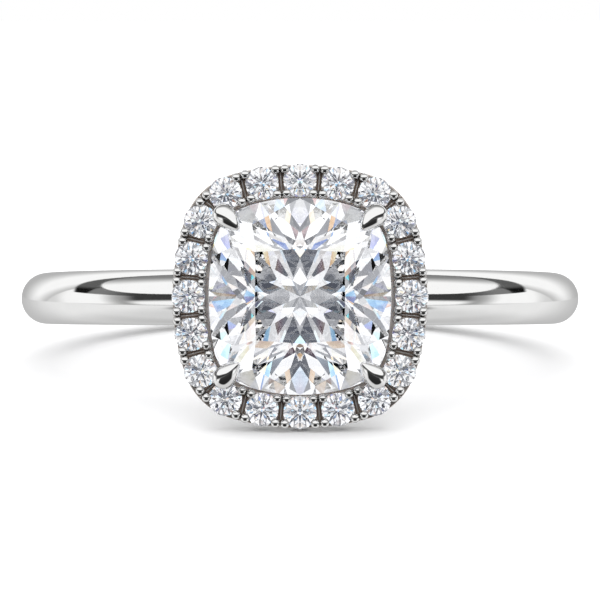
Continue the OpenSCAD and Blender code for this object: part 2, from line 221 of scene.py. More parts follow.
class Outline:
    """A closed cushion outline, made of a side arc, a corner arc and an end arc in each quarter.
    The corner's circle touches the other two from inside."""

    def __init__(self, half_w, half_l, side_r, end_r, corner_r):
        side, end = np.array([half_w - side_r, 0]), np.array([0, half_l - end_r])
        apart = np.linalg.norm(end - side)
        along = (end - side) / apart
        reach = ((side_r - corner_r) ** 2 - (end_r - corner_r) ** 2 + apart**2) / (2 * apart)
        off = math.sqrt((side_r - corner_r) ** 2 - reach**2)
        corner = side + along * reach + np.array([-along[1], along[0]]) * off
        turn_a = math.atan2(corner[1], corner[0] - side[0])
        turn_b = math.atan2(corner[1] - end[1], corner[0])
        self.middles = np.array([side, corner, end])
        self.radii = np.array([side_r, corner_r, end_r])
        self.turns = np.array([0, turn_a, turn_b, math.pi / 2])
        lengths = self.radii * np.diff(self.turns)
        self.ends = np.concatenate([[0], np.cumsum(lengths)])
        self.quarter = self.ends[-1]

    def at(self, s):
        """Points and normal directions at lengths s from the middle of the right side, counted
        counter-clockwise: the first quarter's arcs, mirrored into the others."""
        s = np.asarray(s, float) % (4 * self.quarter)
        which = np.minimum((s // self.quarter).astype(int), 3)
        t = s - which * self.quarter
        t = np.where(which % 2 == 1, self.quarter - t, t)
        arc = np.clip(np.searchsorted(self.ends, t, "right") - 1, 0, 2)
        turn = self.turns[arc] + (t - self.ends[arc]) / self.radii[arc]
        normal = np.stack([np.cos(turn), np.sin(turn)], -1)
        flip = np.stack([np.where((which == 1) | (which == 2), -1, 1), np.where(which > 1, -1, 1)], -1)
        return (self.middles[arc] + self.radii[arc, None] * normal) * flip, normal * flip

    def place(self, xy):
        """The reverse: length along the outline and distance outside it, for points near it."""
        fold = np.abs(xy)
        off = fold[..., None, :] - self.middles
        turn = np.arctan2(off[..., 1], off[..., 0])
        arc = (turn[..., 0] > self.turns[1]).astype(int)
        arc = np.where((arc == 1) & (turn[..., 1] > self.turns[2]), 2, arc)
        picked = np.take_along_axis(turn, arc[..., None], -1)[..., 0]
        radius = np.take_along_axis(np.hypot(off[..., 0], off[..., 1]), arc[..., None], -1)[..., 0]
        t = self.ends[arc] + (picked - self.turns[arc]) * self.radii[arc]
        x, y = xy[..., 0], xy[..., 1]
        which = np.where(y >= 0, np.where(x >= 0, 0, 1), np.where(x < 0, 2, 3))
        s = which * self.quarter + np.where(which % 2 == 1, self.quarter - t, t)
        return s, radius - self.radii[arc]


def halo_row():
    """The outline that the small stones' middles follow."""
    s = ring_sizes()
    half_w = s.stone_w / 2 + s.halo_side_offset
    half_l = s.stone_l / 2 + s.halo_end_offset
    return Outline(half_w, half_l, s.halo_side_r, s.halo_side_r, s.halo_corner_r)


def stone_outline():
    """The girdle of the centre stone."""
    s = ring_sizes()
    return Outline(s.stone_w / 2, s.stone_l / 2, s.stone_side_r, s.stone_end_r, s.stone_corner_r)


class Skin:
    """Grids of points that together make one mesh. Faces look outward where the first
    parameter runs counter-clockwise as the second one climbs, or else the grid is flipped."""

    def __init__(self):
        self.points = []
        self.faces = []
        self.count = 0

    def grid(self, points, around=False, flip=False):
        """Quads between neighbouring points of an n by m grid; around closes the first
        direction on itself."""
        n, m = points.shape[:2]
        index = self.count + np.arange(n * m).reshape(n, m)
        if around:
            index = np.concatenate([index, index[:1]])
        corners = [index[:-1, :-1], index[1:, :-1], index[1:, 1:], index[:-1, 1:]]
        quads = np.stack(corners[::-1] if flip else corners, -1).reshape(-1, 4)
        self.points.append(points.reshape(-1, 3))
        self.faces.append(quads)
        self.count += n * m

    def piece(self, name, material, sharp=35, weld=1e-7):
        """The mesh object: doubles merged so that seams and poles are closed, shaded smooth
        with sharp edges past an angle, riding on the ring's body."""
        mesh = bpy.data.meshes.new(name)
        points = to_floor(np.concatenate(self.points))
        mesh.from_pydata(points.tolist(), [], np.concatenate(self.faces).tolist())
        work = bmesh.new()
        work.from_mesh(mesh)
        bmesh.ops.remove_doubles(work, verts=work.verts, dist=weld)
        bmesh.ops.dissolve_degenerate(work, edges=work.edges, dist=weld)
        work.to_mesh(mesh)
        work.free()
        mesh.shade_smooth()
        mesh.set_sharp_from_angle(angle=math.radians(sharp))
        mesh.materials.append(material)
        piece = bpy.data.objects.new(name, mesh)
        bpy.context.scene.collection.objects.link(piece)
        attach(piece, "root")
        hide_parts("ring_metal")
        return piece


class Val:
    """A number or colour inside a node tree, so that shader maths reads as Python."""

    def __init__(self, tree, socket):
        self.tree = tree
        self.socket = socket

    def _math(self, operation, *values):
        return self.tree.node("ShaderNodeMath", {"operation": operation}, *values)

    def __add__(self, other):
        return self._math("ADD", self, other)

    def __radd__(self, other):
        return self._math("ADD", other, self)

    def __sub__(self, other):
        return self._math("SUBTRACT", self, other)

    def __rsub__(self, other):
        return self._math("SUBTRACT", other, self)

    def __mul__(self, other):
        return self._math("MULTIPLY", self, other)

    def __rmul__(self, other):
        return self._math("MULTIPLY", other, self)

    def __truediv__(self, other):
        return self._math("DIVIDE", self, other)

    def __neg__(self):
        return self._math("MULTIPLY", self, -1)

    def __abs__(self):
        return self._math("ABSOLUTE", self)

    def __pow__(self, other):
        return self._math("POWER", self, other)

    def rise(self, start, stop):
        """0 up to start and 1 from stop on, with a smooth step between."""
        sockets = {"Value": self, "From Min": start, "From Max": stop}
        settings = {"interpolation_type": "SMOOTHSTEP"}
        return self.tree.node("ShaderNodeMapRange", settings, **sockets)

    def fall(self, start, stop):
        """1 up to start and 0 from stop on, with a smooth step between."""
        return 1 - self.rise(start, stop)

    def over(self, start):
        """How far this is past start, and 0 before it."""
        return self._math("MAXIMUM", self - start, 0)

    def blend(self, low, high):
        """low where this is 0, high where it is 1."""
        return low + self * (high - low)


class Tree:
    """Builds nodes in one tree."""

    def __init__(self, owner):
        owner.use_nodes = True
        self.nodes = owner.node_tree.nodes
        self.links = owner.node_tree.links
        self.nodes.clear()

    def node(self, kind, settings=None, *values, output=0, **sockets):
        """A node of a type: its settings, then its sockets' values or links, by order or name."""
        made = self.nodes.new(kind)
        for key, value in (settings or {}).items():
            if key == "stops":
                ramp = made.color_ramp
                while len(ramp.elements) < len(value):
                    ramp.elements.new(1)
                for element, (spot, colour) in zip(ramp.elements, value):
                    element.position = spot
                    element.color = (*colour, 1)
            else:
                setattr(made, key, value)
        for key, value in [*enumerate(values), *sockets.items()]:
            if isinstance(value, Val):
                self.links.new(value.socket, made.inputs[key])
            elif value is not None:
                made.inputs[key].default_value = value
        return Val(self, made.outputs[output]) if made.outputs else None

    def dot(self, vector, direction):
        """How far a vector reaches along a fixed direction."""
        return self.node(
            "ShaderNodeVectorMath", {"operation": "DOT_PRODUCT"}, vector, tuple(direction), output=1
        )

    def mix(self, factor, low, high):
        """A colour between two colours, which are a Mix node's inputs 6 and 7."""
        ends = [c if isinstance(c, Val) else (*c, 1) for c in (low, high)]
        unused = [None] * 5
        return self.node(
            "ShaderNodeMix", {"data_type": "RGBA"}, factor, *unused, *ends, output=2
        )


def head_axes():
    """Right, up and out directions of the head in the shared frame."""
    tilt, _ = head_pose()
    c, n = math.cos(tilt), math.sin(tilt)
    return (1, 0, 0), (0, n, c), (0, -c, n)


SHADE_SOFT = 0.04
BOTTOMLESS = -9


def metal_material(name, tone=None, dark=0, bright=1, rougher=(0, 0), deep=BOTTOMLESS):
    """Polished white metal. Fine polishing lines and a faint waviness vary its roughness and
    bump. Where a painted shade colour is given, the metal turns to it between two heights over
    the small girdles: bright is the upper one and dark the lower one. Its roughness grows by the
    first value of rougher above them and by the second below. Under the height deep it is plain."""
    s = ring_sizes()
    finish = bpy.context.scene.halo_ring_finish
    material = bpy.data.materials.new(name)
    tree = Tree(material)
    place = tree.node("ShaderNodeTexCoord", output=3)
    place = tree.node("ShaderNodeVectorMath", {"operation": "SCALE"}, place, Scale=1 / MM)
    waves = tree.node("ShaderNodeTexNoise", None, Vector=place, Scale=1.4, Detail=2)
    lines = tree.node("ShaderNodeTexNoise", None, Vector=place, Scale=38, Detail=5, Roughness=0.65)
    rough = finish.polish + 0.03 * waves.rise(0.4, 0.7) + 0.03 * lines.rise(0.5, 0.75)
    dimmer = tuple(0.985 * v for v in finish.metal)
    colour = tree.mix(waves.rise(0.35, 0.7), tuple(finish.metal), dimmer)
    if tone is not None:
        _, _, out = head_axes()
        _, middle = head_pose()
        height = tree.dot(place, out) - Vector(middle).dot(Vector(out)) - s.halo_at
        # Painted shade mask: full below the height dark, none above bright, and none under deep.
        face = height.rise(deep - SHADE_SOFT, deep)
        low = height.fall(dark, bright) * face
        colour = tree.mix(low, colour, tuple(getattr(finish, tone)))
        rough = rough + face * low.blend(*rougher)
    bump = tree.node("ShaderNodeBump", None, Strength=0.02, Distance=0.00001, Height=lines + waves)
    shader = tree.node(
        "ShaderNodeBsdfPrincipled", None,
        **{"Base Color": colour, "Metallic": 1.0, "Roughness": rough, "Normal": bump},
    )
    tree.node("ShaderNodeOutputMaterial", None, Surface=shader)
    return material


def stone_material():
    """Clear diamond: sharp refraction, with faint growth clouds in its colour."""
    finish = bpy.context.scene.halo_ring_finish
    material = bpy.data.materials.new("cut_diamond")
    tree = Tree(material)
    place = tree.node("ShaderNodeTexCoord", output=3)
    clouds = tree.node("ShaderNodeTexNoise", None, Vector=place, Scale=700, Detail=1)
    colour = tree.mix(clouds.rise(0.35, 0.7), (1, 1, 1), (0.985, 0.99, 1))
    shader = tree.node(
        "ShaderNodeBsdfPrincipled", None,
        **{
            "Base Color": colour, "Roughness": 0.0,
            "IOR": finish.refraction, "Transmission Weight": 1.0,
        },
    )
    tree.node("ShaderNodeOutputMaterial", None, Surface=shader)
    return material


def material_of(name, make):
    """The named material, made when it is first asked for."""
    return bpy.data.materials.get(name) or make()


def polished():
    """The plain polished metal, which several pieces share."""
    return material_of("white_gold_polished", lambda: metal_material("white_gold_polished"))


BAND_STATIONS = 360
RAIL_STATIONS = 96
WIRE_POINTS = 32
PRONG_STATIONS = 40
PRONG_BEND_FROM = 0.8
PRONG_BEND_TO = 0.45
PRONG_THIN = 0.92


def band_points():
    """The band: a half-round section carried round the finger. The section runs over the crown
    as a half circle, down the flat sides, round both inner edges and across the flat inside."""
    s = ring_sizes()
    crown = np.radians(np.linspace(-90, 90, 49))
    over = np.stack([s.dome_at + s.dome_r * np.cos(crown), s.dome_r * np.sin(crown)], -1)
    edge = np.radians(np.linspace(90, 180, 9))
    inner_x = s.finger_r + s.band_edge_r
    inner_y = s.dome_r - s.band_edge_r
    upper = np.stack(
        [inner_x + s.band_edge_r * np.cos(edge), inner_y + s.band_edge_r * np.sin(edge)], -1
    )
    lower = upper[::-1] * (1, -1)
    side = np.linspace(over[-1], upper[0], 6)[1:-1]
    across = np.linspace(upper[-1], lower[0], 10)[1:-1]
    section = np.concatenate([over, side, upper, across, lower, side[::-1] * (1, -1)])
    turn = np.linspace(0, 2 * np.pi, BAND_STATIONS, endpoint=False)[:, None]
    r, h = section[:, 0], section[:, 1]
    return np.stack([r * np.sin(turn), h + 0 * turn, r * np.cos(turn)], -1)


def rail_points():
    """The base rail: a round wire carried round the head's axis at the height of the band's
    crown."""
    s = ring_sizes()
    turn = np.linspace(0, 2 * np.pi, RAIL_STATIONS, endpoint=False)[:, None]
    wire = np.linspace(0, 2 * np.pi, WIRE_POINTS + 1)[None]
    wire_r = s.rail_wire_d / 2
    r = s.rail_d / 2 + wire_r * np.cos(wire)
    height = s.band_r + wire_r * np.sin(wire) + 0 * turn
    return np.stack([r * np.cos(turn), r * np.sin(turn), height], -1)


def claw_spot():
    """Middle of a claw's round end, outside the middle of the stone's corner."""
    s = ring_sizes()
    out = np.array([1, 1]) / math.sqrt(2)
    return stone_outline().middles[1] + (s.stone_corner_r + s.claw_out) * out


def corners():
    """The four corners as signs of x and y, and whether their mirror image turns faces over."""
    for sx in (1, -1):
        for sy in (1, -1):
            yield np.array([sx, sy, 1]), sx * sy < 0


def prong_points():
    """A prong: a round wire that leans out from the base rail, bends half way up the plate and
    stands up to the claw. Two straight lengths are joined at the bend by a quadratic curve,
    which takes up a share of each, and the wire thins upwards."""
    s = ring_sizes()
    spot = claw_spot()
    foot = np.array([s.rail_d / 2 / math.sqrt(2)] * 2 + [s.band_r])
    bend = np.array([*spot, s.plate_bottom + s.plate_t / 2])
    top = np.array([*spot, s.girdle_at + s.claw_rise])
    lean = foot + (bend - foot) * PRONG_BEND_FROM
    stand = bend + (top - bend) * PRONG_BEND_TO
    t = np.linspace(0, 1, PRONG_STATIONS)[:, None]
    straight = foot + (lean - foot) * t
    curve = (1 - t) ** 2 * lean + 2 * t * (1 - t) * bend + t**2 * stand
    rise = curve[-1] + (top - curve[-1]) * t
    path = np.concatenate([straight[:-1], curve[:-1], rise])
    ahead = np.gradient(path, axis=0)
    ahead /= np.linalg.norm(ahead, axis=1)[:, None]
    side = np.cross(ahead, np.array([1, -1, 0]) / math.sqrt(2))
    side /= np.linalg.norm(side, axis=1)[:, None]
    other = np.cross(ahead, side)
    radius = s.prong_d / 2 * np.linspace(1, PRONG_THIN, len(path))[:, None, None]
    around = np.linspace(0, 2 * np.pi, WIRE_POINTS + 1)[None, :, None]
    return path[:, None] + radius * (side[:, None] * np.cos(around) + other[:, None] * np.sin(around))


class HALO_RING_OT_band(bpy.types.Operator):
    """Build the plain band"""

    bl_idname = "halo_ring.band"
    bl_label = "Band"

    def execute(self, context):
        skin = Skin()
        points = band_points()
        skin.grid(np.concatenate([points, points[:, :1]], 1), around=True)
        skin.piece("band", polished())
        return {"FINISHED"}


class HALO_RING_OT_basket(bpy.types.Operator):
    """Build the base rail and the four prongs"""

    bl_idname = "halo_ring.basket"
    bl_label = "Base rail and prongs"

    def execute(self, context):
        rail = Skin()
        rail.grid(rail_points(), around=True)
        rail.piece("base_rail", polished())
        prongs = Skin()
        for sign, turns_over in corners():
            prongs.grid(prong_points() * sign, flip=turns_over)
        prongs.piece("prongs", polished())
        return {"FINISHED"}


CLAW_TURN = math.radians(45)
CLAW_LEAN = math.radians(22)
CLAW_POINT_D = 0.08
CLAW_KEEL = 0.24
CLAW_KEEL_W = 0.9
CLAW_FULL = 0.05
CLAW_BULGE = 2.0
CLAW_BLUNT = 0.07


def claw_points():
    """A claw: a ball drawn out to a blunt point, leaning on the stone's crown. Its radius is a
    quarter circle at the round end and then falls as a power of the way to the point, which is
    rounded as an ellipse. The claw is a little fuller than the plain form, and its section rises
    to a keel towards the point."""
    s = ring_sizes()
    r = s.claw_d / 2 + CLAW_FULL
    reach = s.claw_l - s.claw_d / 2 + CLAW_FULL
    back = np.radians(np.linspace(-90, 0, 20))
    tip = np.linspace(0, 1, 40)[1:]
    fall = r - (r - CLAW_POINT_D / 2) * tip**CLAW_BULGE
    near_end = np.clip((tip - 1) / CLAW_BLUNT + 1, 0, 1)
    end = np.sqrt(1 - near_end**2)
    radius = np.concatenate([r * np.cos(back), fall * end])
    x = np.concatenate([r * np.sin(back), reach * tip])
    around = np.linspace(0, 2 * np.pi, 49)[None]
    toward = np.clip(x / reach, 0, 1)[:, None] ** 1.5
    from_keel = np.abs(around - np.pi / 2) / CLAW_KEEL_W
    keel = 1 + CLAW_KEEL * toward * np.clip(1 - from_keel, 0, 1) ** 1.5
    y = radius[:, None] * np.cos(around)
    z = radius[:, None] * np.sin(around) * keel
    x = x[:, None] + 0 * around
    c, n = math.cos(CLAW_LEAN), math.sin(CLAW_LEAN)
    leaned = np.stack([x * c - z * n, y, z * c + x * n], -1)
    place = np.array([*claw_spot(), s.girdle_at + s.claw_rise])
    return turned(leaned, math.pi + CLAW_TURN, place)


class HALO_RING_OT_claws(bpy.types.Operator):
    """Build the four teardrop claws"""

    bl_idname = "halo_ring.claws"
    bl_label = "Claws"

    def execute(self, context):
        skin = Skin()
        for sign, turns_over in corners():
            skin.grid(claw_points() * sign, flip=not turns_over)
        skin.piece("claws", polished(), sharp=50)
        return {"FINISHED"}


BEAD_APART = 0.142
BEAD_FULL = 0.024
POST_SHARE = 0.82
POST_FOOT = ((1.12, -0.2), (1.04, 0.01), (1, 0.05))


def bead_profile():
    """A bead on its post, from the plate up, as radius and height over the small girdles: a
    flared foot, given by its widths as shares of the neck and its heights over the plate, a
    straight neck, and a ball closed at its pole, a little fuller than the plain one."""
    s = ring_sizes()
    r = s.bead_r + BEAD_FULL
    neck = s.bead_r * POST_SHARE
    meet = math.degrees(math.asin(-math.sqrt(1 - POST_SHARE**2)))
    ball = np.radians(np.linspace(meet, 90, 13))
    foot = [(neck * share, height - s.plate_step) for share, height in POST_FOOT]
    over = np.stack([r * np.cos(ball), s.bead_rise + r * np.sin(ball)], -1)
    return np.concatenate([foot, over])


def bead_places():
    """Turn and place of each bead: four round every small stone, but none where a claw stands.
    A bead stands beside the bar at one side of its stone, where it just grips the stone: its
    place on the line across the row solves the circle round the stone's middle."""
    s = ring_sizes()
    row = halo_row()
    reach = s.stone_r + s.bead_r - s.bead_grip
    pitch = row.quarter / QUARTER_STONES
    for i in range(STONES):
        stone, normal = row.at(i * pitch)
        for side in (-1, 1):
            bar, ahead = row.at((i + side / 2) * pitch)
            beside = bar + np.array([ahead[1], -ahead[0]]) * side * BEAD_APART
            off = beside - stone
            middle = off @ ahead
            across = math.sqrt(reach**2 - off @ off + middle**2)
            by_claw = i % QUARTER_STONES == (BEFORE_CLAW if side > 0 else AFTER_CLAW)
            for out in (-1, 1):
                if out > 0 or not by_claw:
                    xy = beside + ahead * (out * across - middle)
                    yield math.atan2(normal[1], normal[0]), np.array([*xy, s.halo_at])


class HALO_RING_OT_beads(bpy.types.Operator):
    """Build the beads that hold the small stones"""

    bl_idname = "halo_ring.beads"
    bl_label = "Beads"

    def execute(self, context):
        radius, height = bead_profile().T
        around = np.linspace(0, 2 * np.pi, 24, endpoint=False)[:, None]
        one = np.stack([radius * np.cos(around), radius * np.sin(around), height + 0 * around], -1)
        skin = Skin()
        for turn, place in bead_places():
            skin.grid(turned(one, turn, place), around=True)
        # Painted shade: each bead's lower part turns to the dark rim colour, fully below 0.105 over
        # the small girdles.
        metal = metal_material("white_gold_beads", "rim", 0.105, 0.165, (0, 0.15))
        skin.piece("beads", metal, sharp=60)
        return {"FINISHED"}


CUT_W = 0.52
CUT_AT = 0.36
HOLE_R = 0.18
SEAT_STEEP = 0.86
GIRDLE_SHARE = 0.03
RIM_ROUND = 0.035
SEAT_ROUND = 0.02
RIDGE_H = 0.055
RIDGE_W = 0.02
GROOVE_D = 0.05
GROOVE_AT = 0.05
GROOVE_W = 0.02
LIP_H = 0.04
LIP_W = 0.018
LIP_SLOPE = 0.5


def plate_height(xy, row):
    """Height of the plate's face over the small girdles: flat, rounded off at both rims, and
    between neighbouring stones a thin ridge with a groove on either side of it. A lip runs
    along the inside of the row, and the face slopes down from it to the centre stone. Ridge,
    grooves and lip are bell curves of the distance from their own line."""
    s = ring_sizes()
    along, off = row.place(xy)
    _, past_girdle = stone_outline().place(xy)
    pitch = row.quarter / QUARTER_STONES
    from_bar = (along / pitch - 0.5 - np.round(along / pitch - 0.5)) * pitch
    to_rim = np.minimum(s.plate_half - off, past_girdle + s.plate_reach)
    rim = np.clip(1 - to_rim / RIM_ROUND, 0, 1)
    rounded = RIM_ROUND * (1 - np.sqrt(1 - rim**2))
    from_lip = -off - s.plate_half
    bars = np.clip(1 - from_lip / LIP_W, 0, 1)
    ridge = RIDGE_H * np.exp(-((from_bar / RIDGE_W) ** 2)) * bars
    groove = GROOVE_D * np.exp(-(((np.abs(from_bar) - GROOVE_AT) / GROOVE_W) ** 2)) * bars
    lip = LIP_H * np.exp(-((from_lip / LIP_W) ** 2))
    slope = LIP_SLOPE * np.clip(from_lip, 0, None)
    return -s.plate_step - rounded + np.maximum(ridge, lip) - groove - slope


def seat_height(distance):
    """Height of a small stone's seat at a distance from its middle: a cone under the girdle."""
    s = ring_sizes()
    r = s.stone_r + s.seat_gap
    return -(GIRDLE_SHARE * s.halo_stone_d / 2 + s.seat_gap) - (r - distance) * SEAT_STEEP


def lower_of(a, b, soft):
    """The lower of two heights, rounded over where they cross."""
    mix = np.clip(0.5 + (b - a) / (2 * soft), 0, 1)
    return b + (a - b) * mix - soft * mix * (1 - mix)


def plate_inner(spots, normals):
    """Distance inward from the row to the plate's inner edge, which keeps an even distance
    inside the centre stone's girdle."""
    s = ring_sizes()
    girdle = stone_outline()
    inward = np.full(len(spots), s.plate_half)
    for _ in range(6):
        _, past_girdle = girdle.place(spots - normals * inward[:, None])
        inward = inward + past_girdle + s.plate_reach
    return inward


def cell(i, row):
    """One stone's share of the plate: its middle, its turn and its four edges, as lines of points
    in the stone's own frame that go round the share counter-clockwise. Outer and inner follow the
    plate's edges. Far and near are straight and lie half way to the neighbours."""
    s = ring_sizes()
    pitch = row.quarter / QUARTER_STONES
    middle, normal = row.at(i * pitch)
    tangent = np.array([-normal[1], normal[0]])
    steps = np.linspace(-0.5, 0.5, 41) * pitch + i * pitch

    def local(points):
        off = points - middle
        return np.stack([off @ normal, off @ tangent], -1)

    spots, normals = row.at(steps)
    outer = local(spots + normals * s.plate_half)
    inner = local(spots - normals * plate_inner(spots, normals)[:, None])
    across = np.linspace(0, 1, 19)[:, None]
    far = outer[-1] + (inner[-1] - outer[-1]) * across
    near = inner[0] + (outer[0] - inner[0]) * across
    return middle, math.atan2(normal[1], normal[0]), outer, far, inner[::-1], near


def polar(points):
    """Direction, from 0 to a full turn, and distance of each point in a plane."""
    x, y = points.T
    return np.arctan2(y, x) % (2 * np.pi), np.hypot(x, y)


def cut_floor(y):
    """Height of the cut behind a small stone: a half circle across its width."""
    return -CUT_AT - np.sqrt(np.clip((CUT_W / 2) ** 2 - y**2, 0, None))


def upright(x, y, low, high, rows=7):
    """A wall, as columns of points over the points of a line, each from one height to another."""
    x, y, low, high = (v[:, None] for v in np.broadcast_arrays(x, y, low, high))
    z = low + (high - low) * np.linspace(0, 1, rows)
    return np.stack([x + 0 * z, y + 0 * z, z], -1)


RING_RADII = (HOLE_R, 0.22, 0.26, 0.31, 0.36, 0.41, 0.44, 0.46, 0.472, 0.484, 0.498)
RING_SHARES = (0.12, 0.24, 0.36, 0.48, 0.6, 0.7, 0.79, 0.87, 0.93, 0.975, 1)
RING_INSIDE = 0.985


def plate_cell(skin, well, i, row):
    """The plate round one small stone: its face and seat as rings that widen from the drilled
    hole to the share's edge, left open where the cut is; the hole; the underside; the cut's floor
    and sides; and the outer and inner walls."""
    s = ring_sizes()
    middle, turn, outer, far, inner, near = cell(i, row)
    half = CUT_W / 2
    bottom = s.plate_bottom - s.halo_at
    cosine, sine = math.cos(turn), math.sin(turn)

    def to_head(points):
        return turned(points, turn, np.array([*middle, s.halo_at]))

    def height(x, y):
        xy = np.stack([middle[0] + x * cosine - y * sine, middle[1] + x * sine + y * cosine], -1)
        return lower_of(plate_height(xy, row), seat_height(np.hypot(x, y)), SEAT_ROUND)

    def wall_x(y):
        return np.interp(y, outer[:, 1], outer[:, 0])

    above = outer[outer[:, 1] > half]
    below = outer[outer[:, 1] < -half]
    start = [(wall_x(half), half)]
    stop = [(wall_x(-half), -half)]
    loop = np.concatenate([start, above, far, inner, near, below, stop])
    angle, distance = polar(loop)
    keep = np.concatenate([[True], np.diff(angle) > 1e-9])
    loop, angle, distance = loop[keep], angle[keep], distance[keep]
    share = (angle - angle[0]) / (angle[-1] - angle[0])
    rings = []
    for r in RING_RADII:
        first = math.asin(min(1, half / r))
        at = first + (2 * np.pi - 2 * first) * share
        reach = np.minimum(r, distance * RING_INSIDE)
        rings.append(np.stack([reach * np.cos(at), reach * np.sin(at)], -1))
    last = rings[-1]
    for t in RING_SHARES:
        rings.append(last + (loop - last) * t)
    rings = np.stack(rings, 1)
    face = np.concatenate([rings, height(rings[..., 0], rings[..., 1])[..., None]], -1)
    skin.grid(to_head(face), flip=True)

    full = np.linspace(0, 2 * np.pi, 73)
    x, y = HOLE_R * np.cos(full), HOLE_R * np.sin(full)
    top = np.where(np.cos(full) > 1e-6, cut_floor(y), seat_height(HOLE_R))
    skin.grid(to_head(upright(x, y, top, bottom, 5)))

    around = np.concatenate([loop, outer[np.abs(outer[:, 1]) < half]])
    around = around[np.argsort(polar(around)[0])]
    around = np.concatenate([around, around[:1]])
    turns, _ = polar(around)
    ring = HOLE_R * np.stack([np.cos(turns), np.sin(turns)], -1)
    under = ring[:, None] + (around - ring)[:, None] * [[0], [0.5], [1]]
    under = np.concatenate([under, np.full((*under.shape[:2], 1), bottom)], -1)
    skin.grid(to_head(under))

    arch = half * np.sin(np.radians(np.linspace(-90, 90, 25)))
    begin = np.sqrt(np.clip(HOLE_R**2 - arch**2, 0, None))
    x = begin[:, None] + (wall_x(arch) - begin)[:, None] * np.linspace(0, 1, 9)
    y = arch[:, None] + 0 * x
    skin.grid(to_head(np.stack([x, y, cut_floor(y)], -1)), flip=True)
    for side in (-1, 1):
        x = np.linspace(0, wall_x(side * half), 13)
        y = np.full_like(x, side * half)
        skin.grid(to_head(upright(x, y, -CUT_AT, height(x, y))), flip=side < 0)
        y = side * np.linspace(HOLE_R, half, 7)
        by_hole = upright(0, y, cut_floor(y), seat_height(np.abs(y)), 5)
        skin.grid(to_head(by_hole), flip=side > 0)

    y = np.concatenate([below[:, 1], [-half], arch, [half], above[:, 1]])
    cut = np.zeros(len(y), bool)
    first = len(below) + 1
    cut[first:first + len(arch)] = True
    x = wall_x(y)
    top = np.where(cut, cut_floor(y), height(x, y))
    skin.grid(to_head(upright(x, y, bottom, top)))
    x, y = inner.T
    well.grid(to_head(upright(x, y, bottom, height(x, y))))


class HALO_RING_OT_plate(bpy.types.Operator):
    """Build the halo plate with its seats, cuts and bars"""

    bl_idname = "halo_ring.plate"
    bl_label = "Halo plate"

    def execute(self, context):
        skin = Skin()
        well = Skin()
        row = halo_row()
        for i in range(STONES):
            plate_cell(skin, well, i, row)
        # Painted shade: the plate's face and bars turn to the brown-grey shade colour of the recesses
        # below -0.04 over the small girdles, fully below -0.1, and are plain again under -0.13.
        metal = metal_material("white_gold_plate", "recess_shade", -0.1, -0.04, (0.3, 0.35), -0.13)
        skin.piece("halo_plate", metal, sharp=40, weld=2e-7)
        # Painted shade: the wall under the centre stone takes the near-black well colour all over, and
        # is rougher.
        well.piece("halo_plate_well", metal_material("white_gold_well", "well", 8, 9, (0, 0.4)))
        return {"FINISHED"}


class HALO_RING_OT_stones(bpy.types.Operator):
    """Give the centre stone and the small stones their finish"""

    bl_idname = "halo_ring.stones"
    bl_label = "Stones"

    def execute(self, context):
        diamond = material_of("cut_diamond", stone_material)
        for name in STONE_NODES:
            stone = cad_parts[name]
            for slot in stone.material_slots:
                slot.material = diamond
        return {"FINISHED"}


def studio_light(tree, ray):
    """Brightness of the studio around the metal, by direction: a panel overhead that greys
    towards the front, a dark gap under and behind it, white walls behind and at the sides, a
    pale table with a thin dark line along its edge, and the dark of the camera in front."""
    right, up, out = head_axes()
    side = abs(tree.dot(ray, right))
    rise = tree.dot(ray, up)
    toward = tree.dot(ray, out)
    panel_low = rise - 0.19 - 0.63 * (0.6 - toward).over(0) ** 2
    panel_back = toward + 0.38 - 1.2 * side.over(0.45) ** 2
    gap_low = rise - 0.166 + 0.27 * toward
    gap_back = toward + 0.42 - 1.44 * side.over(0.6) ** 2
    table_edge = rise + 0.3 + 0.35 * toward
    seam = rise + 0.1 - 1.8 * (toward + 0.567)
    panel = (toward - 1.2 * rise).rise(-1.3, -0.65).blend(0.24, 1.07)
    gap = rise.rise(0.36, 0.5).blend(0.005, 0.11)
    strip = toward.rise(0.02, 0.4).blend(0.2, 0.04)
    gap = (toward.rise(-0.12, -0.08) * rise.fall(0.42, 0.45)).blend(gap, strip)
    shade = toward.rise(0.22, 0.38).blend(0.66, 0.96 * rise.rise(-0.31, -0.13))
    wall = 1.07 * (1 - toward.rise(-0.02, 0.25) * shade)
    behind = (-toward).rise(0.62, 0.95).blend(1.07, 0.47) * seam.rise(-0.05, 0.5).blend(0.5, 1)
    leaf = toward.rise(-0.5, -0.25).blend(0.7, 1.07)
    light = seam.rise(-0.03, 0.03).blend(leaf, behind)
    light = toward.rise(-0.32, -0.22).blend(light, wall)
    light = (gap_back.rise(-0.015, 0.015) * gap_low.rise(-0.015, 0.015)).blend(light, gap)
    light = (panel_low.rise(-0.008, 0.012) * panel_back.rise(-0.01, 0.015)).blend(light, panel)
    table = toward.rise(-1.05, -0.45).blend(0.5, 0.86) * (-rise).rise(0.5, 0.85).blend(1, 0.8)
    table = table - 0.12 * (-toward).rise(0.2, 0.55) * (-rise).rise(0.5, 0.75)
    light = table_edge.rise(-0.02, 0.004).blend(table, light)
    line = table_edge.rise(-0.05, -0.02) * table_edge.fall(-0.01, 0.02) * toward.rise(-0.4, 0.3)
    front = toward.rise(0.25, 0.4) * side.fall(0.64, 0.74) * rise.fall(-0.24, -0.16)
    camera = toward.rise(0.994, 0.998)
    return light * (1 - 0.45 * line) * (1 - 0.97 * front) * (1 - 0.95 * camera)


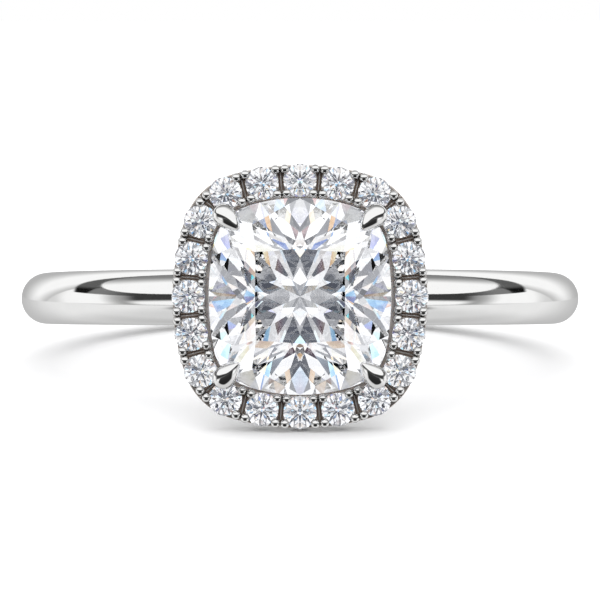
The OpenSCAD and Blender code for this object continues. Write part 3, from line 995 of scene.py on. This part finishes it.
STONE_RINGS = (
    (0, 1.3, 1.3, 1.3, 1.3, 1.3),
    (5.5, 0.12, 0.5, 0.15, 0.62, 0.15),
    (12, 0.1, 1.3, 0.2, 1.3, 0.12),
    (16, 0.12, 1.1, 1.3, 1.1, 0.12),
    (21, 1.5, 0.6, 1.3, 0.65, 1.3),
    (23.7, 1.4, 0.1, 1.3, 0.12, 1.3),
    (26.5, 1.4, 1.5, 0.2, 1.5, 1.4),
    (30, 1.15, 1.0, 0.3, 1.15, 1.15),
    (35, 0.5, 0.1, 1.4, 1.3, 0.55),
    (38.7, 0.2, 1.4, 1.4, 0.15, 0.15),
    (42, 0.45, 0.3, 1.4, 1.4, 0.5),
    (50, 1.4, 1.5, 1.0, 1.4, 1.4),
    (58, 0.5, 1.4, 1.3, 0.2, 0.7),
    (70, 1.2, 0.25, 0.15, 0.25, 1.4),
    (84, 1.4, 1.4, 0.2, 1.4, 1.4),
    (105, 0.2, 0.2, 0.16, 0.2, 0.2),
    (120, 1.1, 1.1, 1.1, 1.1, 1.1),
)
RING_SOFT = 0.5
RING_BRIGHT = 1.5
HAZE = (0, 0.012, 0.045)
SECTOR_EDGES = (-0.81, -0.31, 0.31, 0.81)
SECTOR_SOFT = 0.08
FRINGE = 0.008


def ring_stops(sector):
    """Stops of a ramp over the sine of half the angle, from a ring's brightness to the next."""
    stops = []
    for before, after in zip(STONE_RINGS, STONE_RINGS[1:]):
        for angle, ring in ((after[0] - RING_SOFT, before), (after[0] + RING_SOFT, after)):
            shade = ring[sector] / RING_BRIGHT
            stops.append((math.sin(math.radians(angle / 2)), (shade, shade, shade)))
    return stops


def stone_light(tree, ray):
    """Bright and dark cards round the stones. A row above is one ring of them: its start in
    degrees off the table's axis, then the brightness of the lowest card, the low side cards,
    the side cards, the high side cards and the highest one. Blue bends a little more than red,
    so each colour sees the rings at a slightly different angle, and the dark cards are a little
    blue."""
    _, up, out = head_axes()
    toward = tree.dot(ray, out)
    half_sine = ((1 - toward) / 2) ** 0.5
    level = tree.dot(ray, up) / (1 - toward * toward) ** 0.5
    shares = [level.rise(edge - SECTOR_SOFT, edge + SECTOR_SOFT) for edge in SECTOR_EDGES]
    channels = []
    for bend, haze in zip((1 - FRINGE, 1, 1 + FRINGE), HAZE):
        cards = [
            tree.node("ShaderNodeValToRGB", {"stops": ring_stops(sector)}, half_sine * bend)
            for sector in range(1, len(SECTOR_EDGES) + 2)
        ]
        light = cards[0]
        for share, card in zip(shares, cards[1:]):
            light = share.blend(light, card)
        channels.append(RING_BRIGHT * light + haze)
    return tree.node("ShaderNodeCombineColor", None, *channels)


def make_world():
    """The studio: white to the camera, soft and even on the floor, panels in the metal, and
    rings of light in the stones."""
    world = bpy.data.worlds.new("studio")
    bpy.context.scene.world = world
    tree = Tree(world)
    ray = tree.node("ShaderNodeTexCoord", output=0)
    glossy = tree.node("ShaderNodeLightPath", output="Is Glossy Ray")
    through = tree.node("ShaderNodeLightPath", output="Is Transmission Ray")
    camera = tree.node("ShaderNodeLightPath", output="Is Camera Ray")
    metal = tree.mix(studio_light(tree, ray), (0, 0, 0), (1, 1, 1))
    colour = tree.mix(camera, (1.5, 1.5, 1.51), (1, 1, 1))
    colour = tree.mix(glossy, colour, metal)
    colour = tree.mix(through, colour, stone_light(tree, ray))
    shader = tree.node("ShaderNodeBackground", None, Color=colour, Strength=1.0)
    tree.node("ShaderNodeOutputWorld", None, Surface=shader)


class HALO_RING_OT_stage(bpy.types.Operator):
    """Build the floor, the studio's light and the camera"""

    bl_idname = "halo_ring.stage"
    bl_label = "Stage"

    def execute(self, context):
        studio = context.scene.halo_ring_studio
        make_world()
        mesh = bpy.data.meshes.new("floor")
        w = studio.floor / 2
        mesh.from_pydata([(-w, -w, 0), (w, -w, 0), (w, w, 0), (-w, w, 0)], [], [(0, 1, 2, 3)])
        material = bpy.data.materials.new("floor")
        tree = Tree(material)
        place = tree.node("ShaderNodeTexCoord", output=3)
        grain = tree.node("ShaderNodeTexNoise", None, Vector=place, Scale=900, Detail=3)
        colour = tree.mix(grain, (0.93, 0.93, 0.93), (0.95, 0.95, 0.95))
        shader = tree.node("ShaderNodeBsdfDiffuse", None, Color=colour)
        tree.node("ShaderNodeOutputMaterial", None, Surface=shader)
        mesh.materials.append(material)
        floor = bpy.data.objects.new("floor", mesh)
        floor.visible_glossy = False
        floor.visible_transmission = False
        context.scene.collection.objects.link(floor)

        _, middle = head_pose()
        right, up, out = (Vector(v) for v in head_axes())
        place = Vector(middle) * MM + out * studio.distance - up * studio.drop
        back = (place - Vector(middle) * MM + up * studio.aim).normalized()
        lens = bpy.data.cameras.new("camera")
        lens.lens = studio.lens
        lens.sensor_width = 36
        lens.clip_start = 0.001
        lens.clip_end = 10
        camera = bpy.data.objects.new("camera", lens)
        turn = Matrix((right, back.cross(right), back)).transposed().to_4x4()
        camera.matrix_world = Matrix.Translation(place) @ turn
        context.scene.collection.objects.link(camera)
        context.scene.camera = camera

        cycles = context.scene.cycles
        cycles.max_bounces = 32
        cycles.transmission_bounces = 32
        cycles.glossy_bounces = 12
        cycles.transparent_max_bounces = 16
        cycles.caustics_reflective = True
        cycles.caustics_refractive = True
        context.scene.view_settings.view_transform = "Standard"
        return {"FINISHED"}


class HALO_RING_PT_panel(bpy.types.Panel):
    """The ring's pieces, in the order that they are built in"""

    bl_idname = "HALO_RING_PT_panel"
    bl_label = "Halo ring"
    bl_space_type = "VIEW_3D"
    bl_region_type = "UI"
    bl_category = "Halo ring"

    def draw(self, context):
        for operator in OPERATORS:
            self.layout.operator(operator.bl_idname)
        for group in ("halo_ring_sizes", "halo_ring_finish", "halo_ring_studio"):
            box = self.layout.box()
            values = getattr(context.scene, group)
            for name in type(values).__annotations__:
                box.prop(values, name)


OPERATORS = (
    HALO_RING_OT_band,
    HALO_RING_OT_basket,
    HALO_RING_OT_plate,
    HALO_RING_OT_beads,
    HALO_RING_OT_claws,
    HALO_RING_OT_stones,
    HALO_RING_OT_stage,
)
GROUPS = {
    "halo_ring_sizes": HaloRingSizes,
    "halo_ring_finish": HaloRingFinish,
    "halo_ring_studio": HaloRingStudio,
}


def register():
    for made in (*GROUPS.values(), *OPERATORS, HALO_RING_PT_panel):
        bpy.utils.register_class(made)
    for name, group in GROUPS.items():
        setattr(bpy.types.Scene, name, PointerProperty(type=group))


def unregister():
    for name in GROUPS:
        delattr(bpy.types.Scene, name)
    for made in reversed((*GROUPS.values(), *OPERATORS, HALO_RING_PT_panel)):
        bpy.utils.unregister_class(made)


def main():
    register()
    bpy.ops.halo_ring.band()
    bpy.ops.halo_ring.basket()
    bpy.ops.halo_ring.plate()
    bpy.ops.halo_ring.beads()
    bpy.ops.halo_ring.claws()
    bpy.ops.halo_ring.stones()
    bpy.ops.halo_ring.stage()


if __name__ == "__main__":
    main()
